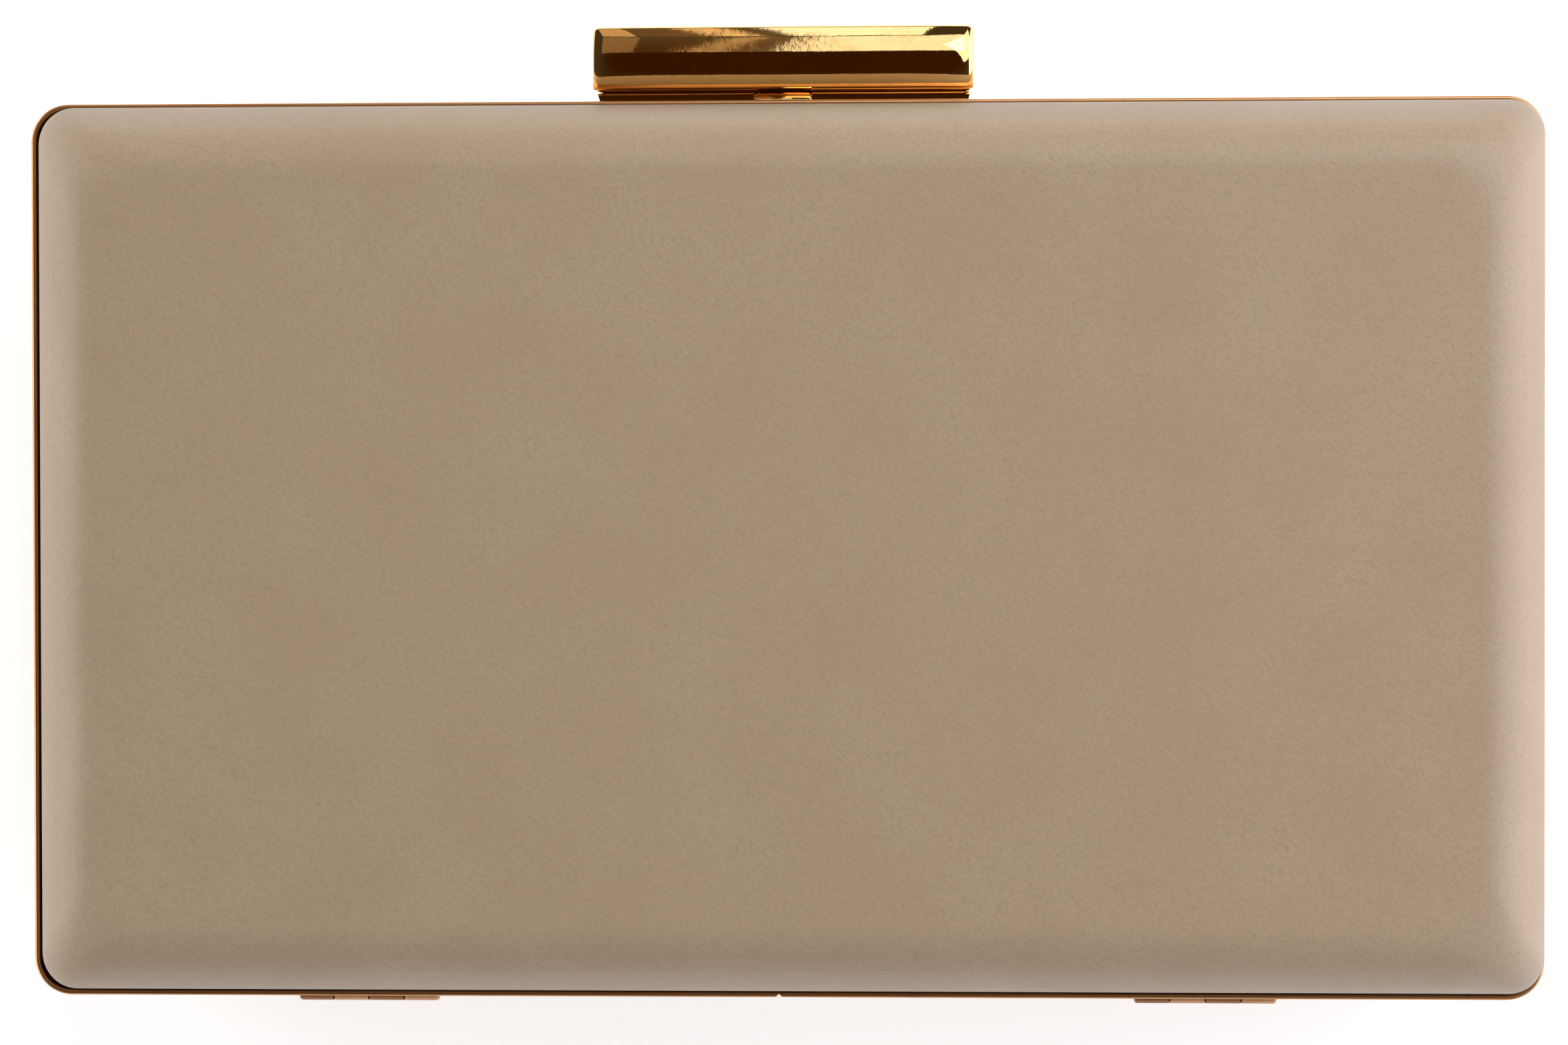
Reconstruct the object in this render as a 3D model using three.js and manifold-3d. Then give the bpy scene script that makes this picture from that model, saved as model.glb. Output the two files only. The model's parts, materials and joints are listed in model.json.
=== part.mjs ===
// A hard-case box clutch: two leather-covered half shells in thin gold rims,
// hinged along one long edge and closed by a bar clasp on the other.
// Millimetres, +Z up. The case lies on its back panel, with the front panel up,
// the hinges towards -Y and the clasp towards +Y.

import * as THREE from "three";
import { mergeVertices } from "three/addons/utils/BufferGeometryUtils.js";
import Module from "manifold-3d";

const wasm = await Module();
wasm.setup();

// Driving dimensions of the case
const CASE_WIDTH = 200;
const CASE_HEIGHT = 118.6;
const CASE_DEPTH = 45;
const CORNER_RADIUS = 5;
const CORNER_STEPS = 8;

// Metal rim of each half: a thin wall with a rounded lip, and a flange at the parting plane
const PARTING_GAP = 0.3;
const RIM_WALL = 0.8;
const RIM_DEPTH = 6.5;
const RIM_EDGE_BREAK = 0.15;
const FLANGE_WIDTH = 3.8;
const FLANGE_THICKNESS = 1;
const SEAM_X = -0.6;
const SEAM_WIDTH = 1;
const SEAM_DEPTH = 0.5;

// Leather shell of each half: a short straight wall, a rolled border and a flat panel
const SHELL_WALL = 2;
const SHELL_CLEARANCE = 0.5;
const SHELL_SEAT_GAP = 0.3;
const FRONT_SHELL_SHIFT = { x: 0.4, y: 0.2 };
const STRAIGHT_WALL_TOP = 10;
const ROLL_WIDTH = 10;
const ROLL_STEPS = 6;
const PANEL_CORNER_RADIUS = 8;

// Hinges: four knuckles each, with leaves let into the rim walls
const HINGE_CENTRES = { left: -56, right: 56 };
const HINGE_WIDTH = 18.9;
const KNUCKLE_COUNT = 4;
const KNUCKLE_RADIUS = 1.45;
const KNUCKLE_GAP = 0.25;
const KNUCKLE_SIDES = 20;
const PIN_RADIUS = 0.7;
const PIN_CLEARANCE = 0.1;
const LEAF_HEIGHT = 5;
const LEAF_GAP = 0.15;
const KNUCKLE_CLEARANCE = 0.3;

// Clasp: a rocking bar on a foot rail, and a striker on the front rim
const BAR_LENGTH = 50.8;
const BAR_HEIGHT = 8.3;
const BAR_THICKNESS = 9.6;
const BAR_LIFT = 1.8;
const BAR_SQUARENESS = 4;
const BAR_SECTION_STEPS = 32;
const FOOT_LENGTH_AT_BAR = 50;
const FOOT_LENGTH_AT_RIM = 49;
const FOOT_TOP = 1.4;
const FENCE_TOP = 1.65;
const FOOT_FRONT = -0.4;
const FOOT_BACK = -5.6;
const RAIL_LENGTH = 46.4;
const RAIL_RADIUS = 1.1;
const RAIL_UP = 3.2;
const RAIL_BACK = -1.8;
const RAIL_CLEARANCE = 0.3;
const NECK_THICKNESS = 0.9;
const BAR_TILT_DEG = 12;
const SEAT_GAP = 0.15;
const STRIKER_WIDTH = 7.8;
const STRIKER_TOP = 1.45;
const STRIKER_BACK = 0.9;
const STRIKER_RIDGE = 3.2;
const STRIKER_FRONT = 4.9;
const STRIKER_BEVEL = 0.3;

// Distance that a cutter runs past the faces that it cuts
const OVERCUT = 1;

// Levels and edges that follow from the driving dimensions
const HALF_DEPTH = CASE_DEPTH / 2;
const RIM_BASE = PARTING_GAP / 2;
const FLANGE_TOP = RIM_BASE + FLANGE_THICKNESS;
const SHELL_BASE = FLANGE_TOP + SHELL_SEAT_GAP;
const SHELL_INSET = RIM_WALL + SHELL_CLEARANCE;
const HINGE_EDGE = -CASE_HEIGHT / 2;
const CLASP_EDGE = CASE_HEIGHT / 2;
const HINGE_REACH = KNUCKLE_RADIUS;
const CLASP_REACH = BAR_LIFT + BAR_HEIGHT;

// Sides of the parting plane
const FRONT = 1;
const BACK = -1;

const UNIT_X = new THREE.Vector3(1, 0, 0);
const UNIT_Y = new THREE.Vector3(0, 1, 0);
const UNIT_Z = new THREE.Vector3(0, 0, 1);

// Materials
const leather = () => new THREE.MeshStandardMaterial({ color: 0xa08b74, roughness: 0.55, metalness: 0 });
const gold = () => new THREE.MeshStandardMaterial({ color: 0xd2a061, roughness: 0.18, metalness: 1 });

// Solids from geometry, and back
function solidOf(geometry) {
  const bare = geometry.clone();
  bare.deleteAttribute("normal");
  bare.deleteAttribute("uv");
  const merged = mergeVertices(bare, 1e-5);
  return new wasm.Manifold(new wasm.Mesh({
    numProp: 3,
    vertProperties: new Float32Array(merged.attributes.position.array),
    triVerts: new Uint32Array(merged.index.array),
  }));
}

function geometryOf(solid) {
  const mesh = solid.getMesh();
  const geometry = new THREE.BufferGeometry();
  geometry.setAttribute("position", new THREE.BufferAttribute(mesh.vertProperties, 3));
  geometry.setIndex(new THREE.BufferAttribute(mesh.triVerts, 1));
  geometry.computeVertexNormals();
  return geometry;
}

function part(name, geometry, material) {
  const mesh = new THREE.Mesh(geometry, material);
  mesh.name = name;
  return mesh;
}

// A box given by its low and high corners
function boxBetween(low, high) {
  const size = high.map((value, axis) => value - low[axis]);
  const centre = high.map((value, axis) => (value + low[axis]) / 2);
  return new THREE.BoxGeometry(...size).translate(...centre);
}

// A round bar along X
function rodAlongX(radius, length, x, y, z) {
  const rod = new THREE.CylinderGeometry(radius, radius, length, KNUCKLE_SIDES);
  return rod.rotateZ(-Math.PI / 2).translate(x, y, z);
}

// A profile of [y, z] points extruded along X about the middle of the case
function extrudeAlongX(profile, length, options = {}) {
  const shape = new THREE.Shape(profile.map(([y, z]) => new THREE.Vector2(y, z)));
  const geometry = new THREE.ExtrudeGeometry(shape, { depth: length, bevelEnabled: false, ...options });
  geometry.translate(0, 0, -length / 2);
  return geometry.applyMatrix4(new THREE.Matrix4().makeBasis(UNIT_Y, UNIT_Z, UNIT_X));
}

// One ring of the case outline: a rounded rectangle set in from the rim's outer face
function outlineRing(inset, z, radius) {
  const reachX = CASE_WIDTH / 2 - inset - radius;
  const reachY = CASE_HEIGHT / 2 - inset - radius;
  const corners = [[1, 1], [-1, 1], [-1, -1], [1, -1]];
  return corners.flatMap(([signX, signY], corner) =>
    Array.from({ length: CORNER_STEPS + 1 }, (_, step) => {
      const angle = (corner + step / CORNER_STEPS) * Math.PI / 2;
      const x = signX * reachX + radius * Math.cos(angle);
      const y = signY * reachY + radius * Math.sin(angle);
      return new THREE.Vector3(x, y, z);
    }));
}

// Skin through rings of equal length: a hoop joins its last ring to its first, and other lofts are capped
function loft(rings, hoop = false) {
  const count = rings[0].length;
  const index = [];
  const bands = hoop ? rings.length : rings.length - 1;
  for (let band = 0; band < bands; band += 1) {
    const low = band * count;
    const high = ((band + 1) % rings.length) * count;
    for (let i = 0; i < count; i += 1) {
      const next = (i + 1) % count;
      index.push(low + i, low + next, high + next, low + i, high + next, high + i);
    }
  }
  const last = (rings.length - 1) * count;
  for (let i = 1; !hoop && i < count - 1; i += 1) {
    index.push(0, i + 1, i, last, last + i, last + i + 1);
  }
  const geometry = new THREE.BufferGeometry().setFromPoints(rings.flat());
  geometry.setIndex(index);
  geometry.computeVertexNormals();
  return geometry;
}

// Rings of a half case from rows of inset, height above the parting plane and corner radius
function halfRings(rows, side) {
  const rings = rows.map(({ inset, height, radius }) => outlineRing(inset, side * height, radius));
  return side === FRONT ? rings : rings.reverse();
}

// Rim section, from the outer edge at the parting plane up the wall, over the lip and down to the flange
function rimRows() {
  const lip = RIM_WALL / 2;
  const lipStart = RIM_DEPTH - lip;
  const lipRows = [180, 135, 90, 45, 0].map((degrees) => {
    const angle = THREE.MathUtils.degToRad(degrees);
    return { inset: lip + lip * Math.cos(angle), height: lipStart + lip * Math.sin(angle) };
  });
  const rows = [
    { inset: RIM_EDGE_BREAK, height: RIM_BASE },
    { inset: 0, height: RIM_BASE + RIM_EDGE_BREAK },
    ...lipRows,
    { inset: RIM_WALL, height: FLANGE_TOP },
    { inset: FLANGE_WIDTH, height: FLANGE_TOP },
    { inset: FLANGE_WIDTH, height: RIM_BASE },
  ];
  return rows.map((row) => ({ ...row, radius: CORNER_RADIUS - row.inset }));
}

// Places for the two leaves and the knuckles in a rim's hinge edge
function hingePocket(centre, side) {
  const half = HINGE_WIDTH / 2 + LEAF_GAP;
  const leafTop = LEAF_HEIGHT + LEAF_GAP;
  const wallHeights = [-side * OVERCUT, side * leafTop].sort((a, b) => a - b);
  const flangeHeights = [side * (FLANGE_TOP + SHELL_SEAT_GAP / 2), -side * OVERCUT].sort((a, b) => a - b);
  const flangeEdge = HINGE_EDGE + KNUCKLE_RADIUS + KNUCKLE_CLEARANCE;
  const wallEdge = HINGE_EDGE + RIM_WALL + SHELL_CLEARANCE / 2;
  const lowY = HINGE_EDGE - OVERCUT;
  const wallCut = boxBetween([centre - half, lowY, wallHeights[0]], [centre + half, wallEdge, wallHeights[1]]);
  const flangeCut = boxBetween(
    [centre - half, lowY, flangeHeights[0]],
    [centre + half, flangeEdge, flangeHeights[1]],
  );
  return solidOf(wallCut).add(solidOf(flangeCut));
}

// Groove where the rim strip's ends meet, in the middle of the hinge edge
function seamGroove() {
  const shape = new THREE.Shape([
    new THREE.Vector2(SEAM_X - SEAM_WIDTH, HINGE_EDGE - SEAM_DEPTH),
    new THREE.Vector2(SEAM_X + SEAM_WIDTH, HINGE_EDGE - SEAM_DEPTH),
    new THREE.Vector2(SEAM_X, HINGE_EDGE + SEAM_DEPTH),
  ]);
  const span = 2 * RIM_DEPTH + 2 * OVERCUT;
  const groove = new THREE.ExtrudeGeometry(shape, { depth: span, bevelEnabled: false });
  return solidOf(groove.translate(0, 0, -span / 2));
}

function rim(side) {
  let solid = solidOf(loft(halfRings(rimRows(), side), true));
  for (const centre of Object.values(HINGE_CENTRES)) {
    solid = solid.subtract(hingePocket(centre, side));
  }
  return geometryOf(solid.subtract(seamGroove()));
}

// Rolled border of a shell at a depth below its outer face, from the straight wall up to the panel.
// Its corners widen from the rim's radius to the panel's.
function rollRows(below) {
  const wallRadius = CORNER_RADIUS - SHELL_INSET;
  const rollDepth = HALF_DEPTH - STRAIGHT_WALL_TOP;
  return Array.from({ length: ROLL_STEPS + 1 }, (_, step) => {
    const angle = (step / ROLL_STEPS) * Math.PI / 2;
    const outwards = Math.cos(angle);
    const outerRadius = wallRadius + (PANEL_CORNER_RADIUS - wallRadius) * (1 - outwards);
    return {
      inset: SHELL_INSET + ROLL_WIDTH * (1 - outwards) + below * outwards,
      height: STRAIGHT_WALL_TOP + (rollDepth - below) * Math.sin(angle),
      radius: outerRadius - below * outwards,
    };
  });
}

// Shell section, from the inside of the panel down the inner wall, then up the outside
function shellRows() {
  const outer = rollRows(0);
  const inner = rollRows(SHELL_WALL);
  return [
    ...inner.toReversed(),
    { ...inner[0], height: SHELL_BASE },
    { ...outer[0], height: SHELL_BASE },
    ...outer,
  ];
}

function shell(side) {
  return loft(halfRings(shellRows(), side));
}

// Middle of each knuckle along X, and the half of the case that it belongs to
function knuckles(centre) {
  const pitch = (HINGE_WIDTH + KNUCKLE_GAP) / KNUCKLE_COUNT;
  return Array.from({ length: KNUCKLE_COUNT }, (_, i) => ({
    x: centre + (i - (KNUCKLE_COUNT - 1) / 2) * pitch,
    length: pitch - KNUCKLE_GAP,
    side: i % 2 === 0 ? BACK : FRONT,
  }));
}

function hingeLeaf(centre, side) {
  const plateHeights = [side * (KNUCKLE_RADIUS + KNUCKLE_CLEARANCE), side * LEAF_HEIGHT].sort((a, b) => a - b);
  const webHeights = [side * PIN_RADIUS, side * (KNUCKLE_RADIUS + 2 * KNUCKLE_CLEARANCE)].sort((a, b) => a - b);
  const inner = HINGE_EDGE + RIM_WALL;
  let solid = solidOf(boxBetween(
    [centre - HINGE_WIDTH / 2, HINGE_EDGE, plateHeights[0]],
    [centre + HINGE_WIDTH / 2, inner, plateHeights[1]],
  ));
  for (const { x, length } of knuckles(centre).filter((knuckle) => knuckle.side === side)) {
    const low = [x - length / 2, HINGE_EDGE, webHeights[0]];
    const high = [x + length / 2, inner, webHeights[1]];
    solid = solid.add(solidOf(boxBetween(low, high)));
    solid = solid.add(solidOf(rodAlongX(KNUCKLE_RADIUS, length, x, HINGE_EDGE, 0)));
  }
  const boreLength = HINGE_WIDTH + 2 * OVERCUT;
  const bore = rodAlongX(PIN_RADIUS + PIN_CLEARANCE, boreLength, centre, HINGE_EDGE, 0);
  return geometryOf(solid.subtract(solidOf(bore)));
}

function hingePin(centre) {
  return rodAlongX(PIN_RADIUS, HINGE_WIDTH, centre, HINGE_EDGE, 0);
}

// One ring of the bar: a squared oval in the YZ plane
function barRing(x, scale) {
  const middleY = CLASP_EDGE + BAR_LIFT + BAR_HEIGHT / 2;
  const soften = (value) => Math.sign(value) * Math.abs(value) ** (2 / BAR_SQUARENESS);
  return Array.from({ length: BAR_SECTION_STEPS }, (_, step) => {
    const angle = (step / BAR_SECTION_STEPS) * 2 * Math.PI;
    const y = middleY + (BAR_HEIGHT / 2) * scale * soften(Math.cos(angle));
    const z = (BAR_THICKNESS / 2) * scale * soften(Math.sin(angle));
    return new THREE.Vector3(x, y, z);
  });
}

// Slot in the bar's underside: round around the rail, with a mouth that clears the neck as the bar tilts
function railSlot() {
  const length = RAIL_LENGTH + 2 * RAIL_CLEARANCE;
  const axisY = CLASP_EDGE + RAIL_UP;
  const mouthDepth = RAIL_UP - BAR_LIFT + OVERCUT;
  const spread = mouthDepth * Math.tan(THREE.MathUtils.degToRad(BAR_TILT_DEG));
  const narrow = NECK_THICKNESS / 2 + RAIL_CLEARANCE;
  const mouth = extrudeAlongX([
    [axisY, RAIL_BACK - narrow],
    [axisY, RAIL_BACK + narrow],
    [axisY - mouthDepth, RAIL_BACK + narrow + spread],
    [axisY - mouthDepth, RAIL_BACK - narrow - spread],
  ].reverse(), length);
  const round = rodAlongX(RAIL_RADIUS + RAIL_CLEARANCE, length, 0, axisY, RAIL_BACK);
  return solidOf(mouth).add(solidOf(round));
}

// Rows of the bar from its end inwards: distance from the end face, and share of the full section
const BAR_END_ROWS = [
  { fromEnd: 0, scale: 0.84 },
  { fromEnd: 0.15, scale: 0.92 },
  { fromEnd: 0.5, scale: 0.975 },
  { fromEnd: 1.2, scale: 1 },
];

function claspBar() {
  const half = BAR_LENGTH / 2;
  const lowEnd = BAR_END_ROWS.map(({ fromEnd, scale }) => barRing(fromEnd - half, scale));
  const highEnd = BAR_END_ROWS.map(({ fromEnd, scale }) => barRing(half - fromEnd, scale)).reverse();
  return geometryOf(solidOf(loft([...lowEnd, ...highEnd])).subtract(railSlot()));
}

// Foot on the back rim: a strip with a raised fence along its front, tapering a little from the bar to the rim
function footStrip(low) {
  const top = CLASP_EDGE + FOOT_TOP;
  const fence = CLASP_EDGE + FENCE_TOP;
  const strip = extrudeAlongX([
    [low, FOOT_BACK],
    [top, FOOT_BACK],
    [top, RAIL_BACK],
    [fence, RAIL_BACK],
    [fence, FOOT_FRONT],
    [low, FOOT_FRONT],
  ], FOOT_LENGTH_AT_BAR);
  const points = strip.attributes.position;
  for (let i = 0; i < points.count; i += 1) {
    const down = (fence - points.getY(i)) / (fence - low);
    const length = THREE.MathUtils.lerp(FOOT_LENGTH_AT_BAR, FOOT_LENGTH_AT_RIM, down);
    points.setX(i, points.getX(i) * length / FOOT_LENGTH_AT_BAR);
  }
  return strip;
}

// The foot's strip, with the neck and the round rail that carries the bar
function claspFoot() {
  const low = CLASP_EDGE + SEAT_GAP;
  const railY = CLASP_EDGE + RAIL_UP;
  const neck = boxBetween(
    [-RAIL_LENGTH / 2, CLASP_EDGE + FOOT_TOP / 2, RAIL_BACK - NECK_THICKNESS / 2],
    [RAIL_LENGTH / 2, railY, RAIL_BACK + NECK_THICKNESS / 2],
  );
  const rail = rodAlongX(RAIL_RADIUS, RAIL_LENGTH, 0, railY, RAIL_BACK);
  return geometryOf(solidOf(footStrip(low)).add(solidOf(neck)).add(solidOf(rail)));
}

// Striker: a small wedge on the front rim, under the bar
function claspStriker() {
  const low = CLASP_EDGE + SEAT_GAP + STRIKER_BEVEL;
  const top = CLASP_EDGE + STRIKER_TOP - STRIKER_BEVEL;
  const backFace = STRIKER_BACK + STRIKER_BEVEL;
  const frontFace = STRIKER_FRONT - STRIKER_BEVEL;
  const profile = [[low, backFace], [top, backFace], [top, STRIKER_RIDGE], [low, frontFace]];
  return extrudeAlongX(profile, STRIKER_WIDTH - 2 * STRIKER_BEVEL, {
    bevelEnabled: true,
    bevelSegments: 1,
    bevelSize: STRIKER_BEVEL,
    bevelThickness: STRIKER_BEVEL,
  });
}

// Assembly, about the parting plane and the middle of the panels
const clutch = new THREE.Group();
const caseGroup = new THREE.Group();
caseGroup.position.set(0, (HINGE_REACH - CLASP_REACH) / 2, HALF_DEPTH);
clutch.add(caseGroup);

for (const [name, side] of Object.entries({ front: FRONT, back: BACK })) {
  const leatherShell = part(`${name}_shell`, shell(side), leather());
  if (side === FRONT) {
    leatherShell.position.set(FRONT_SHELL_SHIFT.x, FRONT_SHELL_SHIFT.y, 0);
  }
  caseGroup.add(leatherShell);
  caseGroup.add(part(`${name}_rim`, rim(side), gold()));
  for (const [place, centre] of Object.entries(HINGE_CENTRES)) {
    caseGroup.add(part(`hinge_${place}_${name}_leaf`, hingeLeaf(centre, side), gold()));
  }
}
for (const [place, centre] of Object.entries(HINGE_CENTRES)) {
  caseGroup.add(part(`hinge_${place}_pin`, hingePin(centre), gold()));
}
caseGroup.add(part("clasp_foot", claspFoot(), gold()));
caseGroup.add(part("clasp_bar", claspBar(), gold()));
caseGroup.add(part("clasp_striker", claspStriker(), gold()));

export default clutch;
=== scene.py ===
# A hard-case box clutch, dressed: leather half shells in gold rims, two hinges and a bar clasp.
# Metres, +Z up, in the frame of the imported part: it lies on its back panel, with the hinges towards -Y.

import json
import math
from collections import namedtuple
from types import SimpleNamespace

import bmesh
import bpy
from bpy.props import FloatProperty, FloatVectorProperty, IntProperty, PointerProperty
from mathutils import Matrix, Vector


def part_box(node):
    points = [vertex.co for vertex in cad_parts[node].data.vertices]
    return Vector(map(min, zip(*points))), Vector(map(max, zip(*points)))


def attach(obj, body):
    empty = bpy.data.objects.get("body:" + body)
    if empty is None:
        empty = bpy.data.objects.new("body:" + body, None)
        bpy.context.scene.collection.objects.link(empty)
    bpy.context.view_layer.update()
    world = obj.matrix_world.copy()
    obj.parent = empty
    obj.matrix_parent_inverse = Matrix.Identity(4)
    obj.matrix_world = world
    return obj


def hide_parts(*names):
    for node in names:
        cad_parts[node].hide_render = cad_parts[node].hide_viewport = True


bl_info = {
    "name": "Box Clutch",
    "version": (1, 0, 0),
    "blender": (4, 5, 0),
    "location": "3D View > Sidebar > Clutch",
    "description": "Models and finishes a hard-case box clutch around its packed part",
    "category": "Add Mesh",
}

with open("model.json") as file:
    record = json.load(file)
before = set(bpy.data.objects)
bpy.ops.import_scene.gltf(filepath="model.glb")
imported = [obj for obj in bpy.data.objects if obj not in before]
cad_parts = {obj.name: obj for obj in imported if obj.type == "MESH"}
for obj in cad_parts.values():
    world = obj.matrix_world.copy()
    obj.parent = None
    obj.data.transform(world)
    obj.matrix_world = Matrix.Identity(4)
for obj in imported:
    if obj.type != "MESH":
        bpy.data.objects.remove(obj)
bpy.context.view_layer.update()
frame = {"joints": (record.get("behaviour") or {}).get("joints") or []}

MM = 0.001

# Places that the frame gives
RIM_LOW, RIM_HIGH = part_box("front_rim")
BACK_RIM_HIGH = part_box("back_rim")[1]
PARTING = (RIM_LOW.z + BACK_RIM_HIGH.z) / 2
RIM_BASE = RIM_LOW.z - PARTING
RIM_DEPTH = RIM_HIGH.z - PARTING
HINGE_EDGE = RIM_LOW.y
CLASP_EDGE = RIM_HIGH.y
PANEL_CENTRE = Vector(((RIM_LOW.x + RIM_HIGH.x) / 2, (RIM_LOW.y + RIM_HIGH.y) / 2, RIM_HIGH.z))
PIN_LOW, PIN_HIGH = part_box("hinge_left_pin")
PIN_RADIUS = (PIN_HIGH.z - PIN_LOW.z) / 2
HINGE_AXIS = (HINGE_EDGE, PARTING)
BAR_LOW, BAR_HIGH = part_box("clasp_bar")
FOOT_LOW, FOOT_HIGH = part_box("clasp_foot")
STRIKER_LOW, STRIKER_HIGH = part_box("clasp_striker")

# The bar tilts about its rail, so its joint gives the rail's height and the tilt
CLASP_JOINT = next(joint for joint in frame["joints"] if joint["name"] == "clasp_tilt")
RAIL_Z = CLASP_JOINT["pos_m"][2]
BAR_TILT = math.radians(CLASP_JOINT["range_deg"][1])

# Sides of the parting plane, and the body that each half belongs to
FRONT = 1
BACK = -1
HALVES = {"front": FRONT, "back": BACK}
HALF_BODIES = {"front": "lid", "back": "base"}
HINGE_PLACES = ("left", "right")

# Turning axis of knuckles, pins and the rail, and the direction through the panels
ALONG_X = Vector((1, 0, 0))
UPWARDS = Vector((0, 0, 1))
FULL_TURN = 2 * math.pi


# Sizes and colours that a user would change

def length(name, description, millimetres, lowest=0.0):
    """A size or place whose default is given in millimetres."""
    return FloatProperty(
        name=name, description=description, default=millimetres * MM, min=lowest, unit="LENGTH", precision=5
    )


def colour(name, description, default):
    return FloatVectorProperty(
        name=name, description=description, default=default, size=3, min=0.0, max=1.0, subtype="COLOR"
    )


class ClutchSizes(bpy.types.PropertyGroup):
    """Sizes of the clutch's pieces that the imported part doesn't give by its boxes."""

    rim_corner: length("Rim corner", "Radius of the rim's outer corners", 5)
    rim_wall: length("Rim wall", "Thickness of the rim's wall", 0.7)
    flange_width: length("Flange width", "Reach of the rim's flange from its outer face", 3.8)
    flange_thickness: length("Flange thickness", "Thickness of the rim's flange", 1)
    edge_break: length("Edge break", "Rounding of the metal's edges", 0.12)
    seam_place: length("Seam place", "Place of the rim's butt seam along the hinge edge", -0.6, lowest=-1.0)
    seam_width: length("Seam width", "Half the width of the seam's groove", 0.5)
    seam_depth: length("Seam depth", "Depth of the seam's groove", 0.42)
    shell_corner: length("Shell corner", "Corner radius of the shell's straight wall", 4.5)
    left_gap: length("Left gap", "Inset of the leather at the left end", 0.15)
    clasp_reach: length("Clasp reach", "Reach of the leather past its solid at the clasp", 0.2)
    hinge_reach: length("Hinge reach", "Reach of the leather past its solid at the hinges", 0.35)
    right_bulge: length("Right bulge", "Bulge of the leather at the right end", 0.4)
    clasp_bulge: length("Clasp bulge", "Bulge of the leather at the clasp", 0.25)
    bulge_rise: length("Bulge rise", "Height over the rim's lip where the leather has bulged", 2.5)
    # Tuck height: where the painted shade near the rim's lip fades out
    tuck_shade_height: length("Tuck height", "Height over the rim's lip where the dark tuck ends", 12)
    panel_corner: length("Panel corner", "Corner radius of the panel in its border", 8)
    shell_wall: length("Shell wall", "Thickness of the leather-covered shell", 2)
    wall_top: length("Wall top", "Height of the shell's straight wall", 7)
    roll_width: length("Roll width", "Width of the rolled border", 10)
    panel_crown: length("Panel crown", "Rise of the panel towards its middle", 0.25)
    knuckle_count: IntProperty(name="Knuckles", description="Knuckles of each hinge", default=4, min=2)
    knuckle_gap: length("Knuckle gap", "Gap between two knuckles", 0.06)
    knuckle_round: length("Knuckle round", "Rounding of edges between knuckles", 0.15)
    hinge_end_round: length("Hinge end round", "Rounding of edges at a hinge's ends", 0.45)
    pin_clearance: length("Pin clearance", "Gap between a pin and its knuckles", 0.1)
    leaf_gap: length("Leaf gap", "Gap between a leaf and its pocket", 0.15)
    leaf_clearance: length("Leaf clearance", "Gap between a leaf's plate and the other knuckles", 0.3)
    bar_crown: length("Bar crown", "Radius of the bar's crowned top and underside", 8.1)
    bar_corner: length("Bar corner", "Rounding of the bar's long edges", 0.28)
    bar_end_round: length("Bar end round", "Rounding of the bar's outline at its ends", 0.9)
    bar_end_taper: length("Bar end taper", "Length of the bar's thinning ends", 10)
    rail_length: length("Rail length", "Length of the rail that the bar rocks on", 48.8)
    rail_radius: length("Rail radius", "Radius of that rail", 1.1)
    rail_clearance: length("Rail clearance", "Gap between the rail and the bar's slot", 0.3)
    neck_thickness: length("Neck thickness", "Thickness of the neck under the rail", 0.9)
    foot_top: length("Foot top", "Height of the foot strip over the rim", 1.4)
    fence_top: length("Fence top", "Height of the strip's fence over the rim", 1.65)


class ClutchColours(bpy.types.PropertyGroup):
    """Colours of the clutch's finishes and of the floor."""

    leather: colour("Leather", "Main tone of the leather", (0.415, 0.308, 0.205))
    leather_shade: colour("Leather shade", "Tone of the leather's darker clouds", (0.392, 0.286, 0.187))
    # Leather crease: painted shade, a darker tone at the bottom of the grain
    leather_crease_shade: colour("Leather crease", "Tone at the bottom of the grain", (0.335, 0.240, 0.155))
    # Leather tuck: painted shade, a darker tone of the leather near the rim where it tucks in
    leather_tuck_shade: colour("Leather tuck", "Tone of the leather tucked into the rim", (0.235, 0.171, 0.114))
    inside: colour("Inside", "Tone of the shells' bare inner faces", (0.42, 0.34, 0.26))
    inside_fibre: colour("Inside fibre", "Tone of the fibres in the inner faces", (0.34, 0.27, 0.20))
    clasp_gold: colour("Clasp gold", "Main tone of the clasp's plating", (0.95, 0.63, 0.26))
    clasp_smudge: colour("Clasp smudge", "Tone of smudges on the clasp", (0.82, 0.50, 0.18))
    rim_gold: colour("Rim gold", "Main tone of the rims' plating", (0.55, 0.285, 0.122))
    rim_smudge: colour("Rim smudge", "Tone of smudges on the rims", (0.46, 0.23, 0.092))
    # Knuckle gold is a darker copy of the hinges' plating as painted shade; the rubbed gold below is a
    # paler copy as painted highlight
    knuckle_gold: colour("Knuckle gold", "Tone of the pins and the back knuckles", (0.26, 0.115, 0.045))
    knuckle_smudge: colour("Knuckle smudge", "Tone of smudges on those knuckles", (0.20, 0.085, 0.032))
    highlit_gold: colour("Rubbed gold", "Tone of the front knuckles, rubbed paler", (0.46, 0.24, 0.125))
    highlit_smudge: colour("Rubbed smudge", "Tone of smudges on the rubbed knuckles", (0.36, 0.18, 0.09))
    # Grease and its paler blotches: painted shade, a dark finish on the knuckles' end faces inside the
    # hinges
    joint_shade: colour("Grease", "Tone of the grease in the hinges", (0.035, 0.016, 0.008))
    joint_shade_blotch: colour("Grease shine", "Tone of the thinner spots in the grease", (0.09, 0.042, 0.018))
    floor: colour("Floor", "Tone of the floor", (0.95, 0.95, 0.95))
    floor_cloud: colour("Floor cloud", "Tone of the floor's faint clouds", (0.93, 0.93, 0.93))


# Nodes of the finishes

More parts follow.
